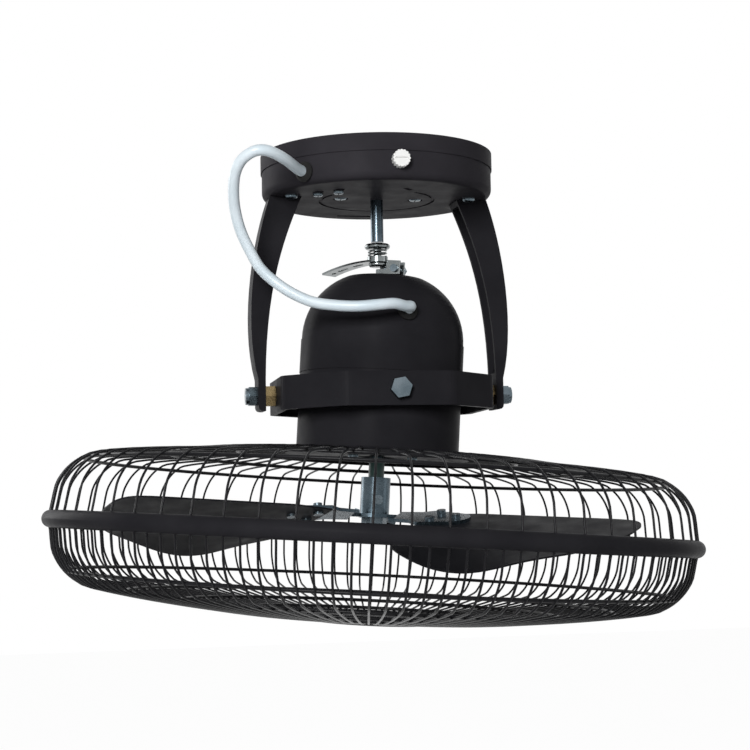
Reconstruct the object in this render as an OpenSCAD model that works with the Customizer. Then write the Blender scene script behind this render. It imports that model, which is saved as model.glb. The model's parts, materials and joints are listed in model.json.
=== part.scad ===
// Orbital ceiling fan. The origin is the centre of the ceiling face and the fan hangs down along -Z.
// The two side pivots lie along X, and the front pivot bolt faces -Y.

/* [Canopy] */
// Radius of the ceiling plate
plate_r = 84; // [80:1:96]
// Height of the ceiling plate's rim, down to the seam
plate_h = 12; // [9:1:14]
// Thickness of the sheet steel in the plate and the cover
sheet = 2; // [1.5:0.5:2.5]
// How far the cover's wall is set in from the plate's rim
cover_inset = 0.8; // [0.5:0.1:1.5]
// Height of the cover below the seam
cover_h = 19.5; // [18:0.5:26]
// Radius of the cover's lower edge
cover_edge_r = 5.5; // [4:0.5:7]
// Circle of the four ceiling screws, across its centre
screw_circle_d = 112; // [100:1:124]
// Diameter of the ceiling screw holes
screw_hole_d = 6; // [4:0.5:7]
// Diameter of the cable hole in the ceiling plate
cable_hole_d = 16; // [12:1:20]
// Distance of the cable hole from the centre
cable_hole_y = 32; // [28:1:36]
// Diameter of the white thumb screw's head
knob_d = 12; // [10:0.5:14]
// Thickness of the thumb screw's head
knob_h = 6; // [4:0.5:8]

/* [Arms] */
// Drop from the ceiling face to the pivot centre
pivot_drop = 173.5; // [168:0.5:186]
// Inner face of each arm's foot, from the centre
foot_x = 84; // [83:0.5:88]
// Thickness of each arm's foot
foot_t = 5.3; // [4:0.1:7]
// How far the arm bulges out past the foot at its widest
arm_bulge = 4.4; // [3:0.2:7]
// Depth of the arm, front to back
arm_d = 22; // [18:1:26]
// Wall of the arm's channel
arm_wall = 3; // [2:0.5:4]
// Inner edge of the arm's neck, from the centre
neck_x = 57; // [56:0.5:60]
// Width of the arm's neck
neck_w = 18; // [15:0.5:18.5]
// Length of the flange that the neck ends in
neck_flange = 44; // [40:1:46]
// Length of the foot below the pivot
foot_drop = 10.8; // [9:0.2:13]

/* [Gimbal] */
// Half width of the gimbal ring between the side pivots, outside
ring_x = 76; // [74:0.5:78]
// How far the ring's front and back faces stand out from the motor housing
ring_y = 11.6; // [10.6:0.1:15.6]
// Half length of the ring's front and back flats
flat_x = 38; // [30:1:44]
// Half length of the ring's side flats
flat_y = 34; // [26:1:40]
// Height of the ring's band
band_h = 23.4; // [20:0.2:28]
// Thickness of the ring's band
band_t = 4; // [3:0.5:5]
// Diameter of the pivot bolts
bolt_d = 8; // [6:1:8]
// Width of the bolt heads and nuts across their flats
hex_af = 13; // [11:0.5:14]
// Radial clearance of the running fits
fit = 0.05; // [0.02:0.01:0.09]
// Gap beside each turning face
side_gap = 0.3; // [0.2:0.05:0.5]

/* [Motor] */
// Radius of the motor housing
motor_r = 58.4; // [54:0.2:60]
// Wall of the housing
housing_wall = 2.4; // [2:0.2:3]
// Height of the seam between dome and lower housing, above the pivot
seam_u = 13.5; // [12.5:0.5:18]
// Height of the dome's straight part
dome_straight = 26; // [22:0.5:28]
// Radius of the dome's round side
dome_arc_r = 49; // [46:0.5:52]
// Radius of the dome's flat top
dome_top_r = 29; // [26:0.5:32]
// Depth of the lower housing below the pivot
housing_drop = 42.5; // [40:0.5:46]
// Radius of the stator
stator_r = 44; // [40:0.5:46]
// Radius of the rotor
rotor_r = 27; // [22:0.5:32]
// Radius of the motor shaft
shaft_r = 5; // [4:0.5:6]

/* [Drop rod and crank] */
// Diameter of the drop rod
rod_d = 9.2; // [7:0.1:10]
// Height of the rod's lower end above the top of the motor's dome
rod_end = 26.3; // [26.1:0.1:30.1]
// Clearance left at the open pivot, between the rod and the cup
open_gap = 1.4; // [1.2:0.1:3]
// Diameter of the spring cup
cup_d = 18.4; // [14:0.2:20]
// Thickness of the spring cup
cup_h = 4; // [3:0.2:5]
// Diameter of the spring's wire
spring_wire = 1.4; // [1:0.1:1.5]
// Mean radius of the spring
spring_r = 6.4; // [4.8:0.1:7]
// Turns of the spring
spring_turns = 2; // [1.5:0.5:3]
// Rise of the spring per turn
spring_pitch = 2.1; // [2:0.1:2.6]
// Thickness of the crank plate
crank_t = 1.4; // [1:0.1:2]
// Width of the crank plate's tail
tail_w = 15; // [8:0.5:16]
// Length of the tail measured along its arc
tail_len = 41; // [34:1:44]
// Radius that the tail is bent to
tail_bend_r = 150; // [56:1:180]
// Radius of the crank's shaft
crank_shaft_r = 4; // [3:0.5:4.5]

/* [Guard] */
// Radius of the guard's rim, outside
guard_r = 232.6; // [228:0.2:240]
// Diameter of the rim's tube
rim_d = 12; // [11:0.5:14]
// Drop from the pivot to the rim
rim_drop = 99.3; // [97:0.5:102]
// Number of wires in the front guard
front_wires = 128; // [96:8:128]
// Number of wires in the rear guard
rear_wires = 64; // [48:4:72]
// Thickness of the guard wires
wire_d = 1.6; // [1.4:0.1:1.7]
// Thickness of the ring wires
ring_wire_d = 2.6; // [2:0.2:3.2]
// Depth of the front guard at its centre
front_depth = 60; // [57:0.5:72]
// Depth of the front guard where its slope changes
front_break_depth = 52.5; // [49:0.2:56]
// Radius where the front guard's slope changes
front_break_r = 148; // [142:1:154]
// Radius of the front guard's shoulder
front_shoulder_r = 38; // [34:1:42]
// Height of the rear guard where its slope changes
rear_break_height = 50.6; // [48:0.2:56]
// Radius where the rear guard's slope changes
rear_break_r = 159; // [150:1:166]
// Radius of the rear guard's shoulder
rear_shoulder_r = 36; // [32:1:40]
// Radius of the plate that carries the rear guard
guard_plate_r = 66; // [64:1:70]
// Radius of the front guard's cap
cap_r = 48; // [46:1:54]

/* [Blades] */
// Radius of the blade tips
blade_tip_r = 200; // [190:1:206]
// Radius where the blades begin
blade_root_r = 42; // [40:1:46]
// Reach of a blade's low side from its arm, at its widest
blade_low_w = 90; // [70:1:94]
// Reach of a blade's high side from its arm
blade_high_w = 22; // [16:1:26]
// Reach of a blade's low side at its root
blade_root_w = 23; // [18:1:26]
// Pitch of the blades, in degrees
blade_pitch = 16; // [12:1:20]
// Extra droop of a blade's low edge
blade_droop = 9; // [4:0.5:18]
// Thickness of the blades
blade_t = 1.2; // [1:0.1:2]
// Turn of the blades at rest, in degrees
blade_turn = 78.6; // [0:0.1:119]
// Radius of the hub sleeve
hub_r = 10.5; // [9:0.5:12]
// Length of the hub sleeve
hub_len = 26; // [22:0.5:28]
// Drop from the pivot to the blade spider
spider_drop = 85; // [83:0.5:88]
// Thickness of the blade spider
spider_t = 2.5; // [2:0.1:3]

/* [Supply lead] */
// Diameter of the supply lead
lead_d = 7.6; // [6:0.1:8]
// Length of each rubber grommet
gland_len = 6; // [4:0.5:8]

/* [Hidden] */
$fn = 64;
blade_count = 3;

// Rest tilt of the gimbal ring about X, and of the motor about the ring's own Y
rest_x = -1;
rest_y = 4;

satin_black = [0.045, 0.045, 0.05];
wire_black = [0.03, 0.03, 0.035];
zinc = [0.72, 0.74, 0.76];
brass = [0.72, 0.58, 0.33];
lead_white = [0.86, 0.9, 0.94];
steel = [0.6, 0.62, 0.64];

module in_gimbal() translate([0, 0, -pivot_drop]) rotate([rest_x, 0, 0]) children();
module in_motor() in_gimbal() rotate([0, rest_y, 0]) children();

// The motor's axis, from the pivot, in the part's own frame
axis_dir = [sin(rest_y), -sin(rest_x) * cos(rest_y), cos(rest_x) * cos(rest_y)];
function on_axis(u) = [0, 0, -pivot_drop] + u * axis_dir;
function motor_point(p) = let (x = p[0] * cos(rest_y) + p[2] * sin(rest_y),
    z = -p[0] * sin(rest_y) + p[2] * cos(rest_y))
  [x, p[1] * cos(rest_x) - z * sin(rest_x), p[1] * sin(rest_x) + z * cos(rest_x) - pivot_drop];

// Shapes that repeat
function arc(cx, cy, r, from, to, steps) =
  [for (i = [0:steps]) let (a = from + (to - from) * i / steps) [cx + r * cos(a), cy + r * sin(a)]];
function bezier(a, b, c, d, steps) = [for (i = [0:steps]) let (t = i / steps, s = 1 - t)
  s * s * s * a + 3 * s * s * t * b + 3 * s * t * t * c + t * t * t * d];
module tube(outer, inner, h) difference() {
  cylinder(r = outer, h = h);
  translate([0, 0, -1]) cylinder(r = inner, h = h + 2);
}
module box_at(low, high) translate(low) cube(high - low);
module hexagon(af, h) cylinder(d = af / cos(30), h = h, $fn = 6);
// A pan head screw that points up, with its seat at z = 0
module pan_screw(head_r, head_h, shank_r, len) {
  difference() {
    translate([0, 0, -head_h]) rotate_extrude() polygon(concat([[0, 0], [head_r * 0.6, 0]],
      arc(head_r * 0.6, head_r * 0.4, head_r * 0.4, -60, 0, 3), [[head_r, head_h], [0, head_h]]));
    translate([0, 0, -head_h - 0.1]) for (a = [0, 90]) rotate(a)
      translate([-head_r * 0.55, -head_r * 0.1, 0]) cube([head_r * 1.1, head_r * 0.2, head_h * 0.45]);
  }
  cylinder(r = shank_r, h = len);
}

// Canopy
cover_r = plate_r - cover_inset;
cover_z = -plate_h - cover_h;
floor_z = cover_z + sheet;
tab_r = cover_r - sheet - 0.7;
tab_h = 13;
tab_w = 12;
knob_z = -plate_h - 6.6;
m4_r = 2;
m5_r = 2.5;
m4_head_r = 3.6;
m4_head_h = 2.2;
m5_head_r = 4.6;
m5_head_h = 2.6;
hanger_post_r = 5;
cover_screw_len = 8;
earth_screw_len = 6;
arm_screw_len = 8;
guard_screw_len = 7;
knob_rib = 0.9;
bar_t = 3;
bar_w = 34;
access_x = 27.5;
access_y = -5;
access_r = 5.5;
groove_r = 41;
arm_screw_x = neck_x + 8;
arm_screw_y = arm_d / 2 + 5;
neck_clear = 0.5;
earth_points = [[-47, -24], [-34, -34]];
gland_turn = 222.7;
gland_z = cover_z + 8.5;
gland_hole_r = lead_d / 2 + 2;

module side_tab(turn) rotate(turn)
  box_at([tab_r - sheet, -tab_w / 2, -plate_h - tab_h + 0.01], [tab_r, tab_w / 2, -sheet]);

module ceiling_plate() color(satin_black) difference() {
  union() {
    translate([0, 0, -sheet]) cylinder(r = plate_r, h = sheet, $fn = 128);
    translate([0, 0, -plate_h]) tube(plate_r, plate_r - sheet, plate_h, $fn = 128);
    for (turn = [-90, 30, 150]) side_tab(turn);
  }
  for (i = [0:3]) rotate(45 + 90 * i) translate([screw_circle_d / 2, 0, -plate_h])
    cylinder(d = screw_hole_d, h = plate_h + 1);
  translate([0, cable_hole_y, -plate_h]) cylinder(d = cable_hole_d, h = plate_h + 1);
  for (x = [-access_x, access_x]) translate([x, access_y, -plate_h]) cylinder(r = m5_r, h = plate_h + 1);
  for (turn = [-90, 30, 150]) rotate(turn) translate([0, 0, knob_z]) rotate([0, 90, 0])
    cylinder(r = m4_r, h = plate_r);
}

module canopy_cover() color(satin_black) difference() {
  rotate_extrude($fn = 128) polygon(concat(
    [[0, cover_z], [0, floor_z], [cover_r - sheet, floor_z], [cover_r - sheet, -plate_h],
      [cover_r, -plate_h]],
    arc(cover_r - cover_edge_r, cover_z + cover_edge_r, cover_edge_r, 0, -90, 8)));
  for (s = [-1, 1]) {
    box_at([min(s * (neck_x - neck_clear), s * (neck_x + neck_w + neck_clear)),
        -arm_d / 2 - neck_clear, cover_z - 1],
      [max(s * (neck_x - neck_clear), s * (neck_x + neck_w + neck_clear)),
        arm_d / 2 + neck_clear, floor_z + 0.2]);
    for (y = [-arm_screw_y, arm_screw_y]) translate([s * arm_screw_x, y, cover_z - 1])
      cylinder(r = m5_r + 0.2, h = sheet + 2);
    translate([s * access_x, access_y, cover_z - 1]) cylinder(r = access_r, h = sheet + 2);
  }
  translate([0, 0, cover_z - 1]) cylinder(d = rod_d + 0.4, h = sheet + 2);
  for (p = earth_points) {
    translate([p[0], p[1], cover_z - 1]) cylinder(r = m4_r, h = sheet + 2);
    translate([p[0] - 3, p[1] - 9, cover_z - 1]) cube([6, 5, sheet + 2]);
  }
  translate([-18, 62, cover_z - 1]) cube([30, 4, sheet + 2]);
  translate([12, -51, cover_z - 1]) rotate(50) cube([9, 3.5, sheet + 2], center = false);
  translate([0, 0, cover_z - 1]) difference() {
    tube(groove_r + 1.2, groove_r - 1.2, 1.8);
    rotate(-150) translate([0, 0, -1]) cube([60, 60, 5]);
  }
  for (turn = [-90, 30, 150]) rotate(turn) translate([tab_r, 0, knob_z]) rotate([0, 90, 0])
    cylinder(r = m4_r + 0.2, h = plate_r);
  rotate(gland_turn) translate([tab_r - 2, 0, gland_z]) rotate([0, 90, 0])
    cylinder(r = gland_hole_r, h = plate_r);
}

// The bar inside the canopy, which carries the rod and hangs from the ceiling plate
module hanger_bar() color(steel) difference() {
  box_at([-neck_x + 3, -bar_w / 2, floor_z], [neck_x - 3, bar_w / 2, floor_z + bar_t]);
  for (x = [-access_x, access_x]) translate([x, access_y, floor_z - 1])
    cylinder(r = m5_r + 0.2, h = bar_t + 2);
  translate([0, 0, floor_z - 1]) cylinder(d = rod_d, h = bar_t + 2);
}
module hanger_posts() color(zinc) for (x = [-access_x, access_x])
  translate([x, access_y, floor_z + bar_t]) tube(hanger_post_r, m5_r, -sheet - floor_z - bar_t);
module post_bolts() color(zinc) for (x = [-access_x, access_x])
  translate([x, access_y, floor_z]) pan_screw(m5_head_r, m5_head_h, m5_r, -floor_z - 0.5);
module cover_screws() color(zinc) for (turn = [30, 150]) rotate(turn)
  translate([cover_r + 0.02, 0, knob_z]) rotate([0, -90, 0])
    pan_screw(m4_head_r, m4_head_h, m4_r, cover_screw_len);
module canopy_knob() color([0.92, 0.92, 0.92]) rotate(-90) translate([cover_r + 0.05, 0, knob_z])
  rotate([0, 90, 0]) {
    difference() {
      union() {
        cylinder(d = knob_d - 1, h = knob_h);
        for (i = [0:15]) rotate(22.5 * i) translate([knob_d / 2 - knob_rib, -0.6, 0])
          cube([knob_rib, 1.2, knob_h]);
      }
      translate([-0.6, -knob_d / 2 + 1.5, knob_h - 1]) cube([1.2, knob_d - 3, 2]);
    }
    translate([0, 0, -8]) cylinder(r = m4_r, h = 9);
  }
module earth_screws() color(zinc) for (p = earth_points)
  translate([p[0], p[1], cover_z]) pan_screw(m4_head_r, m4_head_h, m4_r, earth_screw_len);
module terminal_block() color([0.85, 0.84, 0.8]) difference() {
  box_at([14, 40, floor_z], [44, 56, floor_z + 12]);
  for (i = [0:2]) translate([19 + 10 * i, 48, floor_z + 6]) {
    cylinder(r = 2, h = 10);
    rotate([90, 0, 0]) cylinder(r = 1.6, h = 20, center = true);
  }
}

// Arms
foot_out = foot_x + foot_t;
bend_end = -pivot_drop + band_h / 2;
arm_top_out = neck_x + neck_w + 4.5;
arm_outer = bezier([arm_top_out, cover_z], [foot_out + 2.7, cover_z - 36.5],
  [foot_out + 2.2 * arm_bulge, bend_end + 37], [foot_out, bend_end], 14);
arm_inner = bezier([foot_x, bend_end], [foot_x - 1, bend_end + 67], [neck_x + 12, cover_z - 28.5],
  [neck_x, cover_z], 14);
foot_end = -pivot_drop - foot_drop;
arm_outline = concat(arm_outer, [[foot_out, foot_end + 4]],
  arc(foot_out - 3, foot_end + 3, 3, 0, -90, 3), [[foot_x, foot_end]], arm_inner);
// The channel inside the arm, open on the side that faces the motor
pocket_outer = [for (i = [1:12]) arm_outer[i] - [arm_wall, 0]];
pocket_outline = concat([[neck_x - 20, cover_z - 4], [arm_top_out - arm_wall - 1, cover_z - 4]],
  [for (p = pocket_outer) if (p[1] < cover_z - 6 && p[1] > bend_end + 6) p],
  [[foot_out - arm_wall, bend_end + 4], [foot_x - 40, bend_end + 4]]);

module arm() color(satin_black) difference() {
  union() {
    rotate([90, 0, 0]) translate([0, 0, -arm_d / 2]) linear_extrude(arm_d) polygon(arm_outline);
    box_at([neck_x, -arm_d / 2, cover_z - 0.5], [neck_x + neck_w, arm_d / 2, floor_z + bar_t]);
    box_at([neck_x, -neck_flange / 2, floor_z], [neck_x + neck_w, neck_flange / 2, floor_z + bar_t]);
  }
  rotate([90, 0, 0]) translate([0, 0, -arm_d / 2 + arm_wall]) linear_extrude(arm_d - 2 * arm_wall)
    polygon(pocket_outline);
  translate([foot_x - 1, 0, -pivot_drop]) rotate([0, 90, 0]) cylinder(d = bolt_d, h = foot_t + 2);
  for (y = [-arm_screw_y, arm_screw_y]) translate([arm_screw_x, y, floor_z - 1])
    cylinder(r = m5_r, h = bar_t + 2);
}
module arm_left() mirror([1, 0, 0]) arm();
module arm_right() arm();
module arm_screws() color(zinc) for (s = [-1, 1], y = [-arm_screw_y, arm_screw_y])
  translate([s * arm_screw_x, y, cover_z]) pan_screw(m5_head_r, m5_head_h, m5_r, arm_screw_len);

// Drop rod
module drop_rod() color(steel) translate([0, 0, rod_low])
  cylinder(d = rod_d, h = floor_z + bar_t + 9 - rod_low);
module rod_nut() color(zinc) translate([0, 0, floor_z + bar_t]) difference() {
  hexagon(hex_af, 6.5);
  translate([0, 0, -1]) cylinder(d = rod_d, h = 9);
}

// Side pivots: bolt, nut and bush stay with the arms, and the ring turns on the bush's sleeve
sleeve_r = bolt_d / 2 + 2;
bush_r = 7.5;
head_h = 5.3;
nut_h = 8;
ring_in_x = ring_x - band_t;
module each_side() for (s = [-1, 1]) translate([0, 0, -pivot_drop]) rotate([0, s * 90, 0]) children();
module side_bolts() color(zinc) each_side() {
  translate([0, 0, ring_in_x - side_gap - head_h]) rotate(30) hexagon(hex_af, head_h);
  translate([0, 0, ring_in_x - side_gap - 0.5]) cylinder(d = bolt_d, h = foot_out + nut_h + 1 - ring_in_x);
}
module side_nuts() color(zinc) each_side() translate([0, 0, foot_out]) difference() {
  union() {
    rotate(30) hexagon(hex_af, nut_h - 2.2);
    cylinder(d = hex_af - 1, h = nut_h);
  }
  translate([0, 0, -1]) cylinder(d = bolt_d, h = nut_h + 2);
}
module side_bushes() color(brass) each_side() difference() {
  union() {
    translate([0, 0, ring_x + side_gap]) rotate(30)
      hexagon(2 * bush_r * cos(30) + 1, foot_x - ring_x - side_gap);
    translate([0, 0, ring_in_x - side_gap]) cylinder(r = sleeve_r, h = band_t + 3 * side_gap);
  }
  translate([0, 0, ring_in_x - 2]) cylinder(d = bolt_d, h = foot_x - ring_in_x + 4);
}

// Gimbal ring
// Outline with each corner bent round, given corners that run anticlockwise
function bent(corners, radius) = let (n = len(corners)) [for (i = [0:n - 1]) let (
    c = corners[i], a = unit(corners[(i + n - 1) % n] - c), b = unit(corners[(i + 1) % n] - c),
    half = acos(a * b) / 2, m = c + unit(a + b) * radius / sin(half),
    from = atan2(a[0], -a[1]), sweep = 180 - 2 * half)
  each [for (k = [0:4]) let (t = from + sweep * k / 4) m + radius * [cos(t), sin(t)]]];
bend_r = 12;
ring_half_y = motor_r + ring_y;
module ring_outline(x, y, fx, fy, radius) polygon(bent([[fx, -y], [x, -fy], [x, fy], [fx, y], [-fx, y],
  [-x, fy], [-x, -fy], [-fx, -y]], radius));
cut_x = band_t * tan(22.5);
module gimbal_ring() color(satin_black) in_gimbal() difference() {
  translate([0, 0, -band_h / 2]) linear_extrude(band_h) difference() {
    ring_outline(ring_x, ring_half_y, flat_x, flat_y, bend_r);
    ring_outline(ring_x - band_t, ring_half_y - band_t, flat_x - cut_x, flat_y - cut_x, bend_r - band_t);
  }
  for (s = [-1, 1]) {
    rotate([0, s * 90, 0]) translate([0, 0, ring_in_x - 2]) cylinder(r = sleeve_r + fit, h = band_t + 4);
    rotate([s * 90, 0, 0]) translate([0, 0, ring_half_y - band_t - 2])
      cylinder(r = sleeve_r + fit, h = band_t + 4);
  }
}

// Front and back pivots: bolt and bush stay with the motor
module each_cross() in_motor() for (s = [-1, 1]) rotate([s * 90, 0, 0]) children();
boss_in = stator_r + 2;
module cross_bolts() color(zinc) each_cross() {
  translate([0, 0, ring_half_y + side_gap]) rotate(15) hexagon(hex_af, head_h);
  translate([0, 0, boss_in + 1]) cylinder(d = bolt_d, h = ring_half_y + side_gap + 0.5 - boss_in - 1);
}
module cross_bushes() color(brass) each_cross() difference() {
  union() {
    translate([0, 0, motor_r - 2]) cylinder(r = bush_r, h = ring_half_y - band_t - side_gap - motor_r + 2);
    translate([0, 0, motor_r]) cylinder(r = sleeve_r, h = ring_half_y + side_gap - motor_r);
  }
  translate([0, 0, motor_r - 4]) cylinder(d = bolt_d, h = ring_half_y);
  rotate([90, 0, 0]) cylinder(r = motor_r, h = 4 * bush_r, center = true, $fn = 128);
}

// Housing. Heights are measured along the motor's axis, from the pivot.
dome_u = seam_u + dome_straight;
dome_cx = motor_r - dome_arc_r;
dome_rise = sqrt(dome_arc_r * dome_arc_r - (dome_top_r - dome_cx) * (dome_top_r - dome_cx));
dome_top_u = dome_u + dome_rise + 1;
dome_edge = acos((dome_top_r - dome_cx) / dome_arc_r);
function dome_outline(r, wall) = concat([[0, seam_u], [r, seam_u], [r, dome_u]],
  arc(r - dome_arc_r + wall, dome_u, dome_arc_r - wall, 4, dome_edge, 12),
  [[dome_top_r - 6, dome_top_u - 0.3 - wall], [0, dome_top_u - wall]]);
function dome_r_at(u) = dome_cx + sqrt(dome_arc_r * dome_arc_r - (u - dome_u) * (u - dome_u));
lip = 0.5;
crank_hole_r = crank_shaft_r + 1;
dome_gland_turn = -84.4;
dome_gland_u = 54.9;
dome_gland_lean = asin((dome_gland_u - dome_u) / dome_arc_r);

module at_dome_gland() rotate(dome_gland_turn) translate([dome_r_at(dome_gland_u), 0, dome_gland_u])
  rotate([0, 90 - dome_gland_lean, 0]) children();
module upper_dome() color(satin_black) in_motor() difference() {
  union() {
    rotate_extrude($fn = 128) polygon(dome_outline(motor_r, 0));
    translate([0, 0, seam_u]) cylinder(r = motor_r + lip, h = dome_straight - 2, $fn = 128);
  }
  rotate_extrude($fn = 128) polygon(concat([[0, seam_u - 1], [motor_r - housing_wall, seam_u - 1]],
    [for (p = dome_outline(motor_r - housing_wall, 0)) if (p[0] > 0 && p[1] > seam_u + 1)
      [min(p[0], motor_r - housing_wall), p[1] - (p[0] < motor_r - 8 ? housing_wall : 0)]],
    [[0, dome_top_u - housing_wall]]));
  translate([0, 0, dome_top_u - 10]) cylinder(r = crank_hole_r, h = 12);
  at_dome_gland() cylinder(r = gland_hole_r, h = 30, center = true);
}

housing_edge_r = 3;
plate_u = -housing_drop;
bearing_r = 13;
bearing_h = 9;
bearing_u = plate_u + housing_wall + 0.6;
module lower_housing() color(satin_black) in_motor() difference() {
  union() {
    rotate_extrude($fn = 128) polygon(concat([[0, plate_u]],
      arc(motor_r - housing_edge_r, plate_u + housing_edge_r, housing_edge_r, -90, 0, 6),
      [[motor_r, seam_u], [motor_r - housing_wall, seam_u], [motor_r - housing_wall, plate_u + housing_wall],
        [0, plate_u + housing_wall]]));
    for (s = [-1, 1]) intersection() {
      rotate([s * 90, 0, 0]) translate([0, 0, boss_in]) cylinder(r = 8, h = motor_r - boss_in);
      cylinder(r = motor_r - 0.5, h = 60, center = true, $fn = 128);
    }
    translate([0, 0, plate_u]) cylinder(r = bearing_r + 3, h = bearing_h + housing_wall);
    for (i = [0:3]) rotate(45 + 90 * i) translate([guard_screw_r, 0, plate_u]) cylinder(r = 4.5, h = boss_h);
  }
  translate([0, 0, bearing_u]) cylinder(r = bearing_r, h = bearing_h + 20);
  translate([0, 0, plate_u - 1]) cylinder(r = shaft_r + 1.5, h = 20);
  for (s = [-1, 1]) rotate([s * 90, 0, 0]) translate([0, 0, boss_in - 1])
    cylinder(d = bolt_d, h = motor_r);
  for (i = [0:3]) rotate(45 + 90 * i) translate([guard_screw_r, 0, plate_u - 1])
    cylinder(r = m4_r, h = boss_h + 2);
}

// Inside the motor
guard_screw_r = 30;
boss_h = 6;
stator_low = plate_u + 14;
stator_h = 30;
plate_t = 3;
frame_u = seam_u + 8;
frame_r = motor_r - housing_wall;
lug_r = (frame_r - stator_r) / 3;
capacitor = [26, 24, 18];
module bearing_plate() color(steel) in_motor() difference() {
  union() {
    translate([0, 0, frame_u]) cylinder(r = frame_r, h = plate_t, $fn = 128);
    translate([0, 0, frame_u]) cylinder(r = bearing_r + 3, h = bearing_h + plate_t);
    for (i = [0:3]) rotate(45 + 90 * i) translate([stator_r + lug_r, 0, stator_low + stator_h])
      cylinder(r = 0.75 * lug_r, h = frame_u - stator_low - stator_h + 1);
  }
  translate([0, 0, frame_u + plate_t]) cylinder(r = bearing_r, h = bearing_h + 2);
  translate([0, 0, frame_u - 1]) cylinder(r = shaft_r + 1.5, h = plate_t + 2);
}
module bearing() difference() {
  tube(bearing_r, shaft_r + fit, bearing_h);
  for (z = [-0.1, bearing_h - 0.9]) translate([0, 0, z]) tube(bearing_r - 2.5, shaft_r + 2.5, 1);
}
module upper_bearing() color(steel) in_motor() translate([0, 0, frame_u + plate_t]) bearing();
module lower_bearing() color(steel) in_motor() translate([0, 0, bearing_u]) bearing();
slot_count = 16;
module stator_core() color([0.42, 0.43, 0.45]) in_motor() translate([0, 0, stator_low]) difference() {
  union() {
    tube(stator_r, rotor_r + 0.6, stator_h);
    for (i = [0:3]) rotate(45 + 90 * i) translate([stator_r + lug_r, 0, 0])
      cylinder(r = lug_r, h = stator_h);
    for (s = [0, 90, 180, 270]) rotate(s + 45)
      translate([stator_r - 4, -5, 0]) cube([frame_r - stator_r + 3.5, 10, 6]);
  }
  for (i = [0:slot_count - 1]) rotate(360 / slot_count * i) translate([rotor_r + 5, -2, -1])
    cube([8, 4, stator_h + 2]);
}
module stator_windings() color([0.6, 0.3, 0.12]) in_motor()
  for (u = [stator_low - 7, stator_low + stator_h]) translate([0, 0, u])
    tube(stator_r - 4, rotor_r + 3, 7);
module run_capacitor() color([0.9, 0.9, 0.86]) in_motor()
  translate([-frame_r + 6, -capacitor[1] / 2, frame_u + plate_t]) cube(capacitor);
pillar_r = 2.5;
orbit_lift = 30;
orbit_u = frame_u + plate_t + orbit_lift;
orbit_r = 24.5;
orbit_h = 20;
orbit_post_r = bearing_r + 6.5;
module orbit_motor() color(zinc) in_motor() translate([0, 0, orbit_u]) difference() {
  union() {
    cylinder(r = orbit_r, h = orbit_h);
    translate([0, 0, orbit_h]) cylinder(r = 8, h = 1.5);
  }
  translate([0, 0, 4]) cylinder(r = crank_shaft_r + fit, h = orbit_h);
}
module orbit_motor_posts() color(zinc) in_motor() for (i = [0:2]) rotate(120 * i)
  translate([orbit_post_r, 0, frame_u + plate_t]) cylinder(r = pillar_r, h = orbit_lift);

// Grommets and supply lead
flange_r = gland_hole_r + 1.2;
module gland(len) difference() {
  union() {
    translate([0, 0, -3]) cylinder(r = gland_hole_r, h = 5);
    translate([0, 0, 0.3]) rotate_extrude() polygon([[0, 0], [flange_r, 0], [flange_r, 1],
      [lead_d / 2 + 1, len], [0, len]]);
  }
  translate([0, 0, -8]) cylinder(d = lead_d - 1.6, h = len + 20);
}
module canopy_gland() color([0.05, 0.05, 0.05]) rotate(gland_turn)
  translate([cover_r, 0, gland_z]) rotate([0, 90, 0]) gland(gland_len - 3);
module dome_gland() color([0.05, 0.05, 0.05]) in_motor() at_dome_gland() gland(gland_len - 3);

// Points along the lead, in millimetres, from the canopy's grommet to the dome's
lead_start = [cos(gland_turn), sin(gland_turn), 0] * (cover_r + gland_len - 2.7) + [0, 0, gland_z];
lead_upper_points = [[-68, -64, -22], [-77, -76, -19], [-87, -84, -16], [-95, -86, -15],
  [-102, -84, -17], [-108, -79, -22], [-111, -72, -30], [-111, -64, -41], [-109, -57, -52],
  [-105, -52, -64], [-99, -49, -76], [-92, -48, -88]];
lead_lower_points = [[-92, -48, -88], [-83, -49, -97], [-71, -53, -106], [-57, -59, -113],
  [-42, -66, -116], [-28, -71, -117], [-14, -73, -116], [-3, -71, -115], [5, -66, -116]];
gland_out = [cos(dome_gland_turn) * cos(dome_gland_lean), sin(dome_gland_turn) * cos(dome_gland_lean),
  sin(dome_gland_lean)];
gland_base = [cos(dome_gland_turn) * dome_r_at(dome_gland_u), sin(dome_gland_turn) * dome_r_at(dome_gland_u),
  dome_gland_u];
lead_end = motor_point(gland_base + gland_out * (gland_len - 2.7));
lead_end_out = motor_point(gland_base + gland_out * (gland_len + 1.5));
function unit(v) = v / norm(v);
function along(points, i) = let (n = len(points))
  unit(points[min(i + 1, n - 1)] - points[max(i - 1, 0)]);
function ring_at(p, d, r, sides) = let (side = unit(cross(d, [0.1, 0.2, 1])), up = cross(side, d))
  [for (k = [0:sides - 1]) let (a = 360 * k / sides) p + r * (cos(a) * side + sin(a) * up)];
module swept(points, directions, r, sides) {
  n = len(points);
  rings = [for (i = [0:n - 1]) ring_at(points[i], directions[i], r, sides)];
  corners = [for (ring = rings) each ring];
  walls = [for (i = [0:n - 2], k = [0:sides - 1]) let (a = i * sides + k,
      b = i * sides + (k + 1) % sides) each [[a, b, b + sides], [a, b + sides, a + sides]]];
  first = [for (k = [1:sides - 2]) [0, k + 1, k]];
  last = [for (k = [1:sides - 2]) let (z = (n - 1) * sides) [z, z + k, z + k + 1]];
  polyhedron(corners, concat(walls, first, last));
}
upper_route = concat([lead_start], lead_upper_points);
lower_route = concat(lead_lower_points, [lead_end_out, lead_end]);
join_dir = unit(lead_lower_points[1] - lead_upper_points[len(lead_upper_points) - 2]);
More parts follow.
